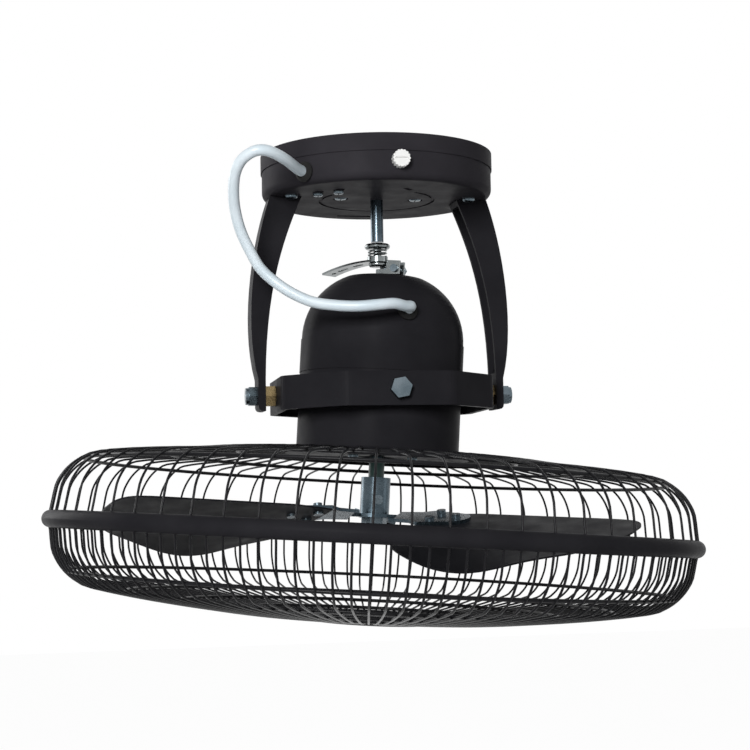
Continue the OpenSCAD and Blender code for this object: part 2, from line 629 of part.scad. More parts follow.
module supply_lead_upper() color(lead_white) swept(upper_route,
  concat([[cos(gland_turn), sin(gland_turn), 0]], [for (i = [1:len(upper_route) - 2]) along(upper_route, i)],
    [join_dir]), lead_d / 2, 8);
module supply_lead_lower() color(lead_white) swept(lower_route,
  concat([join_dir], [for (i = [1:len(lower_route) - 2]) along(lower_route, i)],
    [unit(lead_end - lead_end_out)]), lead_d / 2, 8);

// Guard. Radii and heights are measured from the rim's centre.
module in_guard() in_motor() translate([0, 0, -rim_drop]) children();
rim_c = guard_r - rim_d / 2;
wire_r = rim_c + 1.1;
hoop_h = 2.1;
hoop_d = 3.4;
front_wall = 8;
rear_wall = 12;
front_cx = wire_r - 1.5 - front_shoulder_r;
rear_cx = wire_r - 1.5 - rear_shoulder_r;
wire_end_r = cap_r - 5;
front_path = concat([[wire_r, -hoop_h], [wire_r - 1.5, -front_wall]],
  arc(front_cx, -front_wall, front_shoulder_r, -18, -74, 4),
  [[front_break_r, -front_break_depth], [100, -front_depth + 2.2], [wire_end_r, -front_depth]]);
rear_height = rim_drop - housing_drop;
plate_wire_r = guard_plate_r - 6;
rear_path = concat([[wire_r, hoop_h], [wire_r - 1.5, rear_wall]],
  arc(rear_cx, rear_wall, rear_shoulder_r, 18, 75, 4),
  [[rear_break_r, rear_break_height], [110, rear_height - 1.2], [plate_wire_r, rear_height - 0.8]]);

function side_of(path, i, s) = let (n = len(path), d = unit(path[min(i + 1, n - 1)] - path[max(i - 1, 0)]))
  path[i] + s * wire_d / 2 * [-d[1], d[0]];
module guard_wire(path) rotate([90, 0, 0]) translate([0, 0, -wire_d / 2]) linear_extrude(wire_d)
  polygon(concat([for (i = [0:len(path) - 1]) side_of(path, i, 1)],
    [for (i = [len(path) - 1:-1:0]) side_of(path, i, -1)]));
function height_at(path, r) = [for (i = [0:len(path) - 2]) if (path[i][0] >= r && path[i + 1][0] < r)
  path[i][1] + (path[i + 1][1] - path[i][1]) * (path[i][0] - r) / (path[i][0] - path[i + 1][0])][0];
module ring_wire(path, r, d, out) translate([0, 0, height_at(path, r) + out])
  rotate_extrude($fn = 96) translate([r, 0]) circle(d = d, $fn = 24);

module front_guard_wires() color(wire_black) in_guard()
  for (i = [0:front_wires - 1]) rotate(360 / front_wires * i) guard_wire(front_path);
module rear_guard_wires() color(wire_black) in_guard()
  for (i = [0:rear_wires - 1]) rotate(360 / rear_wires * i) guard_wire(rear_path);
front_inner_gap = 16;
front_outer_gap = 13.7;
front_ring_in = cap_r + front_inner_gap;
front_ring_out = wire_r - front_outer_gap;
front_rings = [for (t = [0, 0.21, 0.47, 0.72, 1]) front_ring_in + t * (front_ring_out - front_ring_in)];
rear_inner_gap = 34;
rear_outer_gap = 21.7;
rear_ring_in = guard_plate_r + rear_inner_gap;
rear_ring_out = wire_r - rear_outer_gap;
rear_rings = [for (t = [0, 0.47, 1]) rear_ring_in + t * (rear_ring_out - rear_ring_in)];
module front_guard_rings() color(wire_black) in_guard() {
  for (r = front_rings) ring_wire(front_path, r, ring_wire_d, ring_wire_d / 2);
  translate([0, 0, -hoop_h]) rotate_extrude($fn = 96) translate([wire_r, 0]) circle(d = hoop_d, $fn = 24);
}
module rear_guard_rings() color(wire_black) in_guard() {
  for (r = rear_rings) ring_wire(rear_path, r, ring_wire_d, -ring_wire_d / 2);
  translate([0, 0, hoop_h]) rotate_extrude($fn = 96) translate([wire_r, 0]) circle(d = hoop_d, $fn = 24);
}
module guard_rim() color(satin_black) in_guard() rotate_extrude($fn = 128) difference() {
  translate([rim_c, 0]) circle(d = rim_d, $fn = 48);
  translate([wire_r - 2.2, -4]) square([4.4, 8]);
}
module front_guard_cap() color(satin_black) in_guard() translate([0, 0, -front_depth - 3.2])
  rotate_extrude($fn = 96) polygon([[0, 0], [cap_r - 8, 0.4], [cap_r - 1, 1.8], [cap_r, 3.2],
    [cap_r - 3, 4.4], [0, 4.4]]);
module rear_guard_plate() color(satin_black) in_motor() difference() {
  translate([0, 0, plate_u - 2]) cylinder(r = guard_plate_r, h = 2, $fn = 96);
  translate([0, 0, plate_u - 3]) cylinder(r = hub_r + 3, h = 5);
  for (i = [0:3]) rotate(45 + 90 * i) translate([guard_screw_r, 0, plate_u - 3])
    cylinder(r = m4_r + 0.2, h = 5);
}
module guard_screws() color(zinc) in_motor() for (i = [0:3]) rotate(45 + 90 * i)
  translate([guard_screw_r, 0, plate_u - 2]) pan_screw(m4_head_r, m4_head_h, m4_r, guard_screw_len);

// Rotor and blades
hub_low = -spider_drop;
shaft_low = hub_low - spider_t - 7;
shaft_high = frame_u + plate_t + bearing_h - 2;
module rotor_shaft() color(steel) in_motor() translate([0, 0, shaft_low])
  cylinder(r = shaft_r, h = shaft_high - shaft_low);
module rotor_core() color([0.5, 0.51, 0.53]) in_motor() translate([0, 0, stator_low - 1]) difference() {
  cylinder(r = rotor_r, h = stator_h + 2);
  translate([0, 0, -1]) cylinder(r = shaft_r, h = stator_h + 4);
}
module hub_sleeve() color(zinc) in_motor() translate([0, 0, hub_low]) difference() {
  tube(hub_r, shaft_r, hub_len);
  rotate(-90) translate([0, 0, 10]) rotate([0, 90, 0]) cylinder(r = m4_r, h = hub_r + 1);
}
module hub_screw() color(zinc) in_motor() rotate(-90) translate([shaft_r, 0, hub_low + 10])
  rotate([0, 90, 0]) difference() {
    union() {
      cylinder(r = m4_r, h = hub_r - shaft_r);
      translate([0, 0, hub_r - shaft_r]) cylinder(r = 3.4, h = 2.2);
    }
    translate([-0.4, -4, hub_r - shaft_r + 1.2]) cube([0.8, 8, 2]);
  }
module hub_nut() color(zinc) in_motor() translate([0, 0, hub_low - spider_t - 6]) difference() {
  hexagon(hex_af + 3, 6);
  translate([0, 0, -1]) cylinder(r = shaft_r, h = 8);
}

arm_root = 16;
arm_tip = blade_root_r + 34;
arm_root_w = 9;
arm_neck_w = 11;
arm_pad_w = 16;
arm_tip_r = 12;
rivet_r = 2;
rivet_points = [[blade_root_r + 8, -9], [blade_root_r + 8, 9], [blade_root_r + 24, 0]];
module in_blade(i) in_motor() rotate(blade_turn + 360 / blade_count * i)
  translate([0, 0, hub_low - spider_t]) rotate([blade_pitch, 0, 0]) children();
module spider_arm() rotate([blade_pitch, 0, 0]) linear_extrude(spider_t)
  polygon(concat([[0, -arm_root_w], [arm_root, -arm_root_w], [blade_root_r - 8, -arm_neck_w],
    [blade_root_r, -arm_pad_w]], arc(arm_tip - arm_tip_r, 0, arm_tip_r, -60, 60, 6),
    [[blade_root_r, arm_pad_w], [blade_root_r - 8, arm_neck_w], [arm_root, arm_root_w], [0, arm_root_w]]));
module blade_spider() color(zinc) in_motor() translate([0, 0, hub_low - spider_t]) difference() {
  union() {
    for (i = [0:blade_count - 1]) rotate(blade_turn + 360 / blade_count * i) intersection() {
      spider_arm();
      translate([0, -arm_tip, -arm_tip]) cube([2 * arm_tip, 2 * arm_tip, 2 * arm_tip]);
    }
    cylinder(r = arm_root + 3, h = spider_t);
  }
  translate([0, 0, -8]) cylinder(r = shaft_r, h = 16);
  translate([0, 0, spider_t]) cylinder(r = arm_root + 3, h = 10);
  translate([0, 0, -10]) cylinder(r = arm_root + 3, h = 10);
  for (i = [0:blade_count - 1]) rotate(blade_turn + 360 / blade_count * i) rotate([blade_pitch, 0, 0])
    for (p = rivet_points) translate([p[0], p[1], -1])
      cylinder(r = rivet_r, h = spider_t + 2);
}

// A blade is a grid from root to tip and from edge to edge, with a flat root that its arm lies on
blade_rows = 15;
blade_cols = 8;
function blade_s(i) = 0.002 + 0.996 * (1 - cos(180 * i / blade_rows)) / 2;
function low_w(s) = (blade_root_w + (blade_low_w - blade_root_w)
  * pow(1 - pow(1 - min(1, s / 0.35), 2), 0.35)) * sqrt(1 - pow(s, 5));
function high_w(s) = (16 + (blade_high_w - 16) * min(1, s / 0.2)) * sqrt(1 - pow(s, 24));
function droop_at(x) = pow(sin(180 * min(1, max(0, (x - blade_root_r - 9) / 122))), 2);
function blade_xyz(i, j, side) = let (s = blade_s(i), v = 2 * j / blade_cols - 1,
    x = blade_root_r + (blade_tip_r - 1 - blade_root_r) * s, y = v < 0 ? v * low_w(s) : v * high_w(s))
  [x, y, -side * blade_t - (y < 0 ? blade_droop * droop_at(x) * pow(y / blade_low_w, 2) : 0)];
module blade_shape() {
  n = blade_cols + 1;
  m = (blade_rows + 1) * n;
  points = [for (side = [0, 1], i = [0:blade_rows], j = [0:blade_cols]) blade_xyz(i, j, side)];
  quads = [for (i = [0:blade_rows - 1], j = [0:blade_cols - 1]) [i * n + j, (i + 1) * n + j,
    (i + 1) * n + j + 1, i * n + j + 1]];
  top = [for (q = quads) each [[q[0], q[2], q[1]], [q[0], q[3], q[2]]]];
  bottom = [for (q = quads) each [[q[0] + m, q[1] + m, q[2] + m], [q[0] + m, q[2] + m, q[3] + m]]];
  edge = concat([for (i = [0:blade_rows]) i * n], [for (j = [1:blade_cols]) blade_rows * n + j],
    [for (i = [blade_rows - 1:-1:0]) i * n + blade_cols], [for (j = [blade_cols - 1:-1:1]) j]);
  rim = [for (k = [0:len(edge) - 1]) let (a = edge[k], b = edge[(k + 1) % len(edge)])
    each [[a, b, b + m], [a, b + m, a + m]]];
  polyhedron(points, concat(top, bottom, rim));
}
module blade(i) color(satin_black) in_blade(i) difference() {
  blade_shape();
  for (p = rivet_points) translate([p[0], p[1], 0]) cylinder(r = rivet_r, h = 12, center = true);
}
module blade_1() blade(0);
module blade_2() blade(1);
module blade_3() blade(2);
module blade_rivets() color(zinc) for (i = [0:blade_count - 1]) in_blade(i) for (p = rivet_points)
  translate([p[0], p[1], 0]) {
    translate([0, 0, -blade_t - 1.8]) cylinder(r = 3.6, h = 1.8);
    translate([0, 0, -blade_t - 0.5]) cylinder(r = rivet_r, h = blade_t + spider_t + 1);
    translate([0, 0, spider_t]) cylinder(r = 3.2, h = 2.6);
  }

// Crank, which the orbit motor turns. The eye stands under the drop rod at rest.
rod_low = dome_top_u + rod_end - pivot_drop;
cup_top = rod_low - open_gap;
cup_low = cup_top - cup_h;
spring_h = spring_turns * spring_pitch + spring_wire;
collar_top = cup_low - spring_h;
collar_h = 2.4;
collar_d = 15;
crank_top = collar_top - collar_h;
crank_low = crank_top - crank_t;
eye_pin_r = 3;
eye_head_h = 3.6;
clamp_low = dome_top_u + 2.7;
clamp_high = pivot_drop + crank_low + 3;
shaft_at_plate = on_axis((crank_low + pivot_drop) / axis_dir[2]);
tail_turn = -49;
clamp_turn = -35;
slot_r = 1.7;
tail_sweep = tail_len / tail_bend_r * 180 / PI;

module crank_shaft() color(steel) in_motor() translate([0, 0, orbit_u + 4.5])
  cylinder(r = crank_shaft_r, h = pivot_drop + crank_low - eye_head_h - 1 - orbit_u - 4.5);
module spring_cup() color(zinc) translate([0, 0, cup_low]) difference() {
  rotate_extrude() polygon(concat([[0, 0], [cup_d / 2 - cup_h / 2, 0]],
    arc(cup_d / 2 - cup_h / 2, cup_h / 2, cup_h / 2, -90, 60, 8), [[rod_d / 2, cup_h], [0, cup_h]]));
  translate([0, 0, -1]) cylinder(r = eye_pin_r, h = cup_h);
}
spring_points = [for (i = [0:8 * spring_turns]) [spring_r * cos(45 * i), spring_r * sin(45 * i),
  collar_top + spring_wire / 2 + 0.05 + (spring_pitch - 0.05) * i / 8]];
spring_last = len(spring_points) - 1;
echo(spring_least_gap = min([for (i = [0:spring_last - 8], j = [i + 5:min(i + 11, spring_last)])
  norm(spring_points[i] - spring_points[j])]) - spring_wire);
module crank_spring() color(zinc) swept(spring_points,
  [for (i = [0:len(spring_points) - 1]) i == 0 ? [0, 1, 0] : along(spring_points, i)], spring_wire / 2, 6);
module eye_collar() color(zinc) translate([0, 0, crank_top]) {
  cylinder(d = collar_d, h = collar_h);
  cylinder(r = eye_pin_r, h = cup_low - crank_top + cup_h - 1);
}
module eye_head() color(zinc) translate([0, 0, crank_low - eye_head_h]) rotate_extrude() polygon(concat(
  [[0, 0], [4.2, 0]], arc(4.7, 1.9, 1.9, -70, 60, 6), [[6.2, eye_head_h], [0, eye_head_h]]));
module crank_plate() color(zinc) difference() {
  union() {
    translate([0, 0, crank_low]) {
      cylinder(r = 7.4, h = crank_t);
      rotate(atan2(shaft_at_plate[1], shaft_at_plate[0])) translate([0, -5.5, 0])
        cube([norm([shaft_at_plate[0], shaft_at_plate[1]]) + 9, 11, crank_t]);
    }
    rotate(tail_turn) {
      translate([-6, -tail_w / 2, crank_low]) cube([6, tail_w, crank_t]);
      translate([-5.9, 0, crank_top - tail_bend_r]) rotate([90, 0, 0]) rotate([0, 0, 90])
        rotate_extrude(angle = tail_sweep, $fn = 128) translate([tail_bend_r - crank_t, -tail_w / 2])
          square([crank_t, tail_w]);
    }
  }
  rotate(tail_turn) translate([0, 0, crank_low - 40]) {
    for (x = [-18, -32]) translate([x, 0, 0]) {
      translate([-3, -slot_r, 0]) cube([6, 2 * slot_r, 50]);
      for (e = [-3, 3]) translate([e, 0, 0]) cylinder(r = slot_r, h = 50);
    }
    translate([-tail_len, 0, 0]) cylinder(r = slot_r, h = 50);
  }
}
clamp_screw_x = 9;
clamp_y = 5.5;
module crank_clamp() color(zinc) difference() {
  in_motor() rotate(clamp_turn) difference() {
    translate([-5.5, -clamp_y, clamp_low]) cube([18, 2 * clamp_y, clamp_high - clamp_low]);
    translate([0, 0, clamp_low - 1]) cylinder(r = crank_shaft_r, h = 40);
    translate([0, -0.8, clamp_low - 1]) cube([30, 1.6, 40]);
    translate([clamp_screw_x, 0, clamp_low + 4]) rotate([90, 0, 0])
      cylinder(r = m4_r, h = 40, center = true);
    translate([5.5, -clamp_y + 2, clamp_low - 1]) cube([20, 2 * clamp_y - 4, 40]);
  }
  translate([-40, -40, crank_low]) cube([80, 80, 20]);
  translate([0, 0, crank_low - 5]) cylinder(r = 7, h = 10);
}
module clamp_screw() color(zinc) in_motor() rotate(clamp_turn)
  translate([clamp_screw_x, 0, clamp_low + 4]) rotate([90, 0, 0]) {
  translate([0, 0, clamp_y]) cylinder(r = 2.8, h = 2);
  translate([0, 0, -clamp_y - 3.2]) hexagon(7, 3.2);
  translate([0, 0, -clamp_y - 5]) cylinder(r = m4_r, h = 2 * clamp_y + 5.5);
}

ceiling_plate();
canopy_cover();
hanger_bar();
hanger_posts();
post_bolts();
cover_screws();
canopy_knob();
earth_screws();
terminal_block();
arm_left();
arm_right();
arm_screws();
drop_rod();
rod_nut();
canopy_gland();
supply_lead_upper();
side_bolts();
side_nuts();
side_bushes();
gimbal_ring();
upper_dome();
lower_housing();
bearing_plate();
upper_bearing();
lower_bearing();
stator_core();
stator_windings();
run_capacitor();
orbit_motor();
orbit_motor_posts();
cross_bolts();
cross_bushes();
dome_gland();
supply_lead_lower();
rear_guard_plate();
rear_guard_wires();
rear_guard_rings();
guard_screws();
guard_rim();
front_guard_wires();
front_guard_rings();
front_guard_cap();
rotor_shaft();
rotor_core();
hub_sleeve();
hub_screw();
blade_spider();
hub_nut();
blade_1();
blade_2();
blade_3();
blade_rivets();
crank_shaft();
crank_plate();
crank_clamp();
clamp_screw();
spring_cup();
crank_spring();
eye_collar();
eye_head();
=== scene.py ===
"""Dresses the ceiling fan: camera, finishes, supply lead, wire guard, blades, crank spring,
shaft sleeve and studio.

Metres, +Z up, with the ceiling at Z 0. Lists of points and the names that end in _MM are in
millimetres.
"""
import json
import math

import bmesh
import bpy
from mathutils import Matrix, Vector


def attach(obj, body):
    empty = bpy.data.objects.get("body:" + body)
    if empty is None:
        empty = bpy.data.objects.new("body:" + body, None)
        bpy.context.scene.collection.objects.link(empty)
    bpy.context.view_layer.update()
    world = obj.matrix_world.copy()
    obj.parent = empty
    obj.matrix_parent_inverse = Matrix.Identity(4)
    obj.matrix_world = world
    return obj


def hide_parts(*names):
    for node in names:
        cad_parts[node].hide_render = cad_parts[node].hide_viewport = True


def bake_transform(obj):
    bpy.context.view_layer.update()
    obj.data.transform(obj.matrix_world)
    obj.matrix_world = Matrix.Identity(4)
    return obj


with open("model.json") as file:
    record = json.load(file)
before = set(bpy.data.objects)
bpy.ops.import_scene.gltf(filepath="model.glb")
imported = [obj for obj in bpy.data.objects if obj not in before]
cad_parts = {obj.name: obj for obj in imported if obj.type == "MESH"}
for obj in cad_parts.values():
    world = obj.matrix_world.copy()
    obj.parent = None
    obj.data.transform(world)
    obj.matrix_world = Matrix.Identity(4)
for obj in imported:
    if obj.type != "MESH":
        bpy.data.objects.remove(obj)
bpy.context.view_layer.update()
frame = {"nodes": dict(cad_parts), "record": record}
nodes = frame["nodes"]
MM = 0.001

# The head hangs from this pivot, tilted a little as the crank leaves it
PIVOT = Vector((0, 0, -0.1735))
LEAN_X, LEAN_Y = math.radians(-1), math.radians(4)
HEAD = (Matrix.Translation(PIVOT) @ Matrix.Rotation(LEAN_X, 4, "X")
        @ Matrix.Rotation(LEAN_Y, 4, "Y"))
RIM_DROP = 0.0993  # from the pivot to the middle of the guard's rim
RIM = HEAD @ Matrix.Translation((0, 0, -RIM_DROP))


def place_in_scene(name, data):
    """A new object in the scene for a mesh, a lamp or the camera."""
    made = bpy.data.objects.new(name, data)
    bpy.context.scene.collection.objects.link(made)
    return made


# ---------------------------------------------------------------- camera
EYE = Vector((-0.221, -1.094, -0.239))
YAW, PITCH, ROLL = math.radians(11.25), math.radians(4.13), math.radians(-1.0)
LENS = 74.4
NEAREST = 0.02
camera = place_in_scene("camera", bpy.data.cameras.new("camera"))
camera.data.lens = LENS
camera.data.clip_start = NEAREST
look = Vector((math.sin(YAW) * math.cos(PITCH), math.cos(YAW) * math.cos(PITCH), math.sin(PITCH)))
turn = look.to_track_quat("-Z", "Y").to_matrix().to_4x4()
camera.matrix_world = Matrix.Translation(EYE) @ turn @ Matrix.Rotation(ROLL, 4, "Z")
bpy.context.scene.camera = camera

# ---------------------------------------------------------------- finishes
COLOUR_BAND = (0.35, 0.65)  # the part of the noise that the colours run over
NUMBER_BAND = (0.3, 0.7)  # the part of the noise that the roughness runs over
PEEL_DEPTH = 0.00004
FINE_DEPTH = 0.00002


def new_finish(name):
    finish = bpy.data.materials.new(name)
    finish.use_nodes = True
    tree = finish.node_tree
    shader = tree.nodes["Principled BSDF"]
    return finish, tree, shader


def grain(tree, scale, detail, stretch=(1, 1, 1)):
    """Noise on the piece's own coordinates, in marks per metre."""
    place = tree.nodes.new("ShaderNodeTexCoord")
    turn_to = tree.nodes.new("ShaderNodeMapping")
    turn_to.inputs["Scale"].default_value = stretch
    noise = tree.nodes.new("ShaderNodeTexNoise")
    noise.inputs["Scale"].default_value = scale
    noise.inputs["Detail"].default_value = detail
    tree.links.new(place.outputs["Object"], turn_to.inputs["Vector"])
    tree.links.new(turn_to.outputs["Vector"], noise.inputs["Vector"])
    return noise.outputs["Fac"]


def ramp(tree, value, low, high):
    """Runs from one colour to another over part of a value's range."""
    band = tree.nodes.new("ShaderNodeValToRGB")
    for stop, position, colour in zip(band.color_ramp.elements, COLOUR_BAND, (low, high)):
        stop.position = position
        stop.color = (*colour, 1)
    tree.links.new(value, band.inputs["Fac"])
    return band.outputs["Color"]


def spread(tree, value, low, high):
    """Runs from one number to another over part of a value's range."""
    band = tree.nodes.new("ShaderNodeMapRange")
    band.inputs["From Min"].default_value = NUMBER_BAND[0]
    band.inputs["From Max"].default_value = NUMBER_BAND[1]
    band.inputs["To Min"].default_value = low
    band.inputs["To Max"].default_value = high
    tree.links.new(value, band.inputs["Value"])
    return band.outputs["Result"]


def relief(tree, shader, value, depth):
    """Raises the surface by up to depth, in metres, where the value is high."""
    bump = tree.nodes.new("ShaderNodeBump")
    bump.inputs["Strength"].default_value = 1
    bump.inputs["Distance"].default_value = depth
    tree.links.new(value, bump.inputs["Height"])
    tree.links.new(bump.outputs["Normal"], shader.inputs["Normal"])


def textured(name, low, high, rough, tone, sheen, skin, depth):
    """A finish whose colour, roughness and relief each follow a grain of their own."""
    finish, tree, shader = new_finish(name)
    tree.links.new(ramp(tree, grain(tree, *tone), low, high), shader.inputs["Base Color"])
    tree.links.new(spread(tree, grain(tree, *sheen), *rough), shader.inputs["Roughness"])
    relief(tree, shader, grain(tree, *skin), depth)
    return finish, shader


def paint(name, low, high, rough, orange_peel=1400, gloss=0.008):
    """Sprayed coat: patchy colour and gloss over a faint orange peel."""
    finish, shader = textured(name, low, high, rough, tone=(26, 5), sheen=(60, 4),
                              skin=(orange_peel, 2), depth=PEEL_DEPTH)
    shader.inputs["Specular IOR Level"].default_value = gloss
    return finish


def metal(name, low, high, rough, scale=900, stretch=(1, 1, 1), depth=FINE_DEPTH):
    """Bare or plated metal, with a grain that can run one way."""
    finish, shader = textured(name, low, high, rough, tone=(70, 4), sheen=(scale, 3, stretch),
                              skin=(scale, 2, stretch), depth=depth)
    shader.inputs["Metallic"].default_value = 1
    return finish


def moulded(name, low, high, rough, depth=FINE_DEPTH, scale=800, gloss=0.5):
    """Moulded plastic or rubber with a fine skin."""
    finish, shader = textured(name, low, high, rough, tone=(40, 4), sheen=(120, 3),
                              skin=(scale, 3), depth=depth)
    shader.inputs["Specular IOR Level"].default_value = gloss
    return finish


# Each finish: its darker and lighter colour, then its least and greatest roughness
black_paint = paint("black_paint", (0.015, 0.0147, 0.0172), (0.02, 0.0196, 0.0225), (0.3, 0.42))
# A lighter copy of black_paint for the canopy cover and ceiling plate: painted light
black_paint_lit_copy = paint("black_paint_lit_copy", (0.026, 0.0245, 0.0287), (0.033, 0.0312, 0.0362), (0.36, 0.48))
wire_coat = paint("wire_coat", (0.007, 0.007, 0.0083), (0.011, 0.011, 0.0127), (0.24, 0.34),
                  orange_peel=900, gloss=0.09)
blade_paint = paint("blade_paint", (0.01, 0.01, 0.0117), (0.0145, 0.0145, 0.0167), (0.34, 0.5),
                    orange_peel=1100, gloss=0.03)
zinc = metal("zinc_plate", (0.1, 0.13, 0.15), (0.16, 0.195, 0.22), (0.22, 0.38))
nickel = metal("nickel_plate", (0.15, 0.165, 0.168), (0.24, 0.26, 0.262), (0.14, 0.3), scale=500)
# A darker copy of zinc_plate for the hub sleeve and blade spider under the motor: painted shade
steel_shaded_copy = metal("steel_shaded_copy", (0.055, 0.078, 0.095), (0.09, 0.118, 0.138), (0.16, 0.3), scale=500)
bright = metal("bright_steel", (0.045, 0.062, 0.076), (0.1, 0.128, 0.15), (0.16, 0.32),
               scale=700, stretch=(1, 1, 6))
brass = metal("turned_brass", (0.34, 0.25, 0.125), (0.45, 0.34, 0.175), (0.2, 0.38),
              scale=600, stretch=(6, 1, 1))
iron = metal("core_iron", (0.28, 0.28, 0.29), (0.4, 0.4, 0.41), (0.45, 0.6),
             scale=400, stretch=(1, 1, 12), depth=0.0001)
copper = metal("wound_copper", (0.4, 0.16, 0.07), (0.55, 0.24, 0.1), (0.3, 0.45),
               scale=700, stretch=(1, 1, 5), depth=0.0002)
rubber = moulded("black_rubber", (0.012, 0.012, 0.012), (0.022, 0.022, 0.022), (0.6, 0.75),
                 gloss=0.05)
nylon = moulded("white_nylon", (0.78, 0.78, 0.77), (0.86, 0.86, 0.85), (0.35, 0.5))
terminal = moulded("terminal_plastic", (0.6, 0.58, 0.52), (0.7, 0.68, 0.62), (0.4, 0.55))
sleeve_green = moulded("sleeve_green", (0.004, 0.035, 0.03), (0.008, 0.06, 0.05), (0.3, 0.45))
sheath = moulded("lead_sheath", (0.6, 0.7, 0.76), (0.7, 0.78, 0.83), (0.32, 0.44),
                 depth=0.00003, scale=500)
finish_of = {
    "black_paint": black_paint,
    "guard_black": wire_coat,
    "blade_charcoal": blade_paint,
    "zinc_steel": zinc,
    "bright_steel": bright,
    "nickel_plate": nickel,
    "brass": brass,
    "white_cable": sheath,
    "black_rubber": rubber,
    "white_nylon": nylon,
    "terminal_plastic": terminal,
    "laminations": iron,
    "windings": copper,
}
# These solids share a slot with others but take a copy of its finish with painted light in the
# colour: a lighter black on the canopy cover and ceiling plate, painted light, and a darker steel
# on the hub sleeve and blade spider, painted shade
own_finish = {
    "canopy_cover": black_paint_lit_copy,
    "ceiling_plate": black_paint_lit_copy,
    "hub_sleeve": steel_shaded_copy,
    "blade_spider": steel_shaded_copy,
}
slot_of = {part["node"]: part["material_slot"] for part in frame["record"]["subparts"]}
for name, node in nodes.items():
    finish = own_finish.get(name, finish_of[slot_of[name]])
    for place in node.material_slots:
        place.material = finish


# ---------------------------------------------------------------- making pieces
def to_object(name, shape, finish):
    """Puts a finished bmesh into the scene."""
    mesh = bpy.data.meshes.new(name)
    shape.to_mesh(mesh)
    shape.free()
    mesh.materials.append(finish)
    return place_in_scene(name, mesh)


def keep(name, shape, body, finish, smooth=40):
    """Turns a finished bmesh into a piece of the fan, sharp where it bends by over smooth."""
    piece = to_object(name, shape, finish)
    piece.data.shade_smooth()
    piece.data.set_sharp_from_angle(angle=math.radians(smooth))
    if body:
        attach(piece, body)
    return piece


def smooth_route(points, steps):
    """A rounded line through given points."""
    ends = [points[0] * 2 - points[1]] + points + [points[-1] * 2 - points[-2]]
    line = []
    for a, b, c, d in zip(ends, ends[1:], ends[2:], ends[3:]):
        for step in range(steps):
            t = step / steps
            line.append(0.5 * (2 * b + (c - a) * t + (2 * a - 5 * b + 4 * c - d) * t * t
                               + (3 * b - a - 3 * c + d) * t ** 3))
    return line + [points[-1]]


def outwards(shape):
    bmesh.ops.recalc_face_normals(shape, faces=shape.faces)


def tube(line, radius, sides, first=None, last=None):
    """A round section run along a line and closed at both ends.

    First and last are the ways that the end sections face, where the line alone doesn't say.
    """
    shape = bmesh.new()
    ways = [(line[min(i + 1, len(line) - 1)] - line[max(i - 1, 0)]).normalized()
            for i in range(len(line))]
    ways[0] = first or ways[0]
    ways[-1] = last or ways[-1]
    stand = ways[0].to_track_quat("Z", "Y").to_matrix().to_4x4()
    at = Matrix.Translation(line[0]) @ stand
    ring = bmesh.ops.create_circle(shape, cap_ends=True, segments=sides, radius=radius,
                                   matrix=at)["verts"]
    edges = [e for e in shape.edges if e.verts[0] in ring and e.verts[1] in ring]
    for i in range(1, len(line)):
        grown = bmesh.ops.extrude_edge_only(shape, edges=edges)["geom"]
        ring = [v for v in grown if isinstance(v, bmesh.types.BMVert)]
        edges = [e for e in grown if isinstance(e, bmesh.types.BMEdge)
                 and e.verts[0] in ring and e.verts[1] in ring]
        stand = ways[i - 1].rotation_difference(ways[i]).to_matrix().to_4x4() @ stand
        here = Matrix.Translation(line[i]) @ stand
        bmesh.ops.transform(shape, matrix=here @ at.inverted(), verts=ring)
        at = here
    bmesh.ops.contextual_create(shape, geom=edges)
    outwards(shape)
    return shape


# ---------------------------------------------------------------- supply lead
LEAD_D = 0.0076
LEAD_STEPS, LEAD_SIDES = 6, 24
upper_points = [
    (-63.6, -58.7, -23), (-68, -64, -22), (-77, -76, -19), (-87, -84, -16), (-95, -86, -15),
    (-102, -84, -17), (-108, -79, -22), (-111, -72, -30), (-111, -64, -41), (-109, -57, -52),
    (-105, -52, -64), (-99, -49, -76), (-92, -48, -88)]
lower_points = [
    (-92, -48, -88), (-83, -49, -97), (-71, -53, -106), (-57, -59, -113), (-42, -66, -116),
    (-28, -71, -117), (-14, -73, -116), (-3, -71, -115), (5, -66, -116),
    (10.13, -61.74, -115.73), (9.65, -57.79, -117.08)]
whole = smooth_route([Vector(p) * MM for p in upper_points + lower_points[1:]], LEAD_STEPS)
turning = (len(upper_points) - 1) * LEAD_STEPS
lead_lines = {"supply_lead_top": whole[:turning + 1], "supply_lead_tail": whole[turning:]}
meet = (whole[turning + 1] - whole[turning - 1]).normalized()
leads = {}
for name, line in lead_lines.items():
    top = name == "supply_lead_top"
    shape = tube(line, LEAD_D / 2, LEAD_SIDES, None if top else meet, meet if top else None)
    leads[name] = keep(name, shape, None, sheath)
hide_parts("supply_lead_upper")
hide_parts("supply_lead_lower")
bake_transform(leads["supply_lead_top"])
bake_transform(leads["supply_lead_tail"])

# ---------------------------------------------------------------- wire guard
GUARD_WIRE_R = 0.0008
GUARD_STEPS, GUARD_SIDES = 2, 8
FRONT_WIRES, REAR_WIRES = 128, 64
GUARD_SMOOTH = 60
SHOULDER_STEPS = 5


def guard_wires(name, profile, count):
    """One bent wire, copied round the guard."""
    line = smooth_route([Vector((r * MM, 0, h * MM)) for r, h in profile], GUARD_STEPS)
    shape = tube(line, GUARD_WIRE_R, GUARD_SIDES)
    bmesh.ops.spin(shape, geom=shape.verts[:] + shape.edges[:] + shape.faces[:],
                   cent=(0, 0, 0), axis=(0, 0, 1), angle=math.tau * (count - 1) / count,
                   steps=count - 1, use_duplicate=True)
    bmesh.ops.transform(shape, matrix=RIM, verts=shape.verts)
    return keep(name, shape, "motor", wire_coat, GUARD_SMOOTH)


def shoulder(r, h, radius, start, end):
    """Points round the guard's shoulder, between two angles in degrees about its centre."""
    angles = [math.radians(start + (end - start) * i / SHOULDER_STEPS)
              for i in range(SHOULDER_STEPS + 1)]
    return [(r + radius * math.cos(a), h + radius * math.sin(a)) for a in angles]


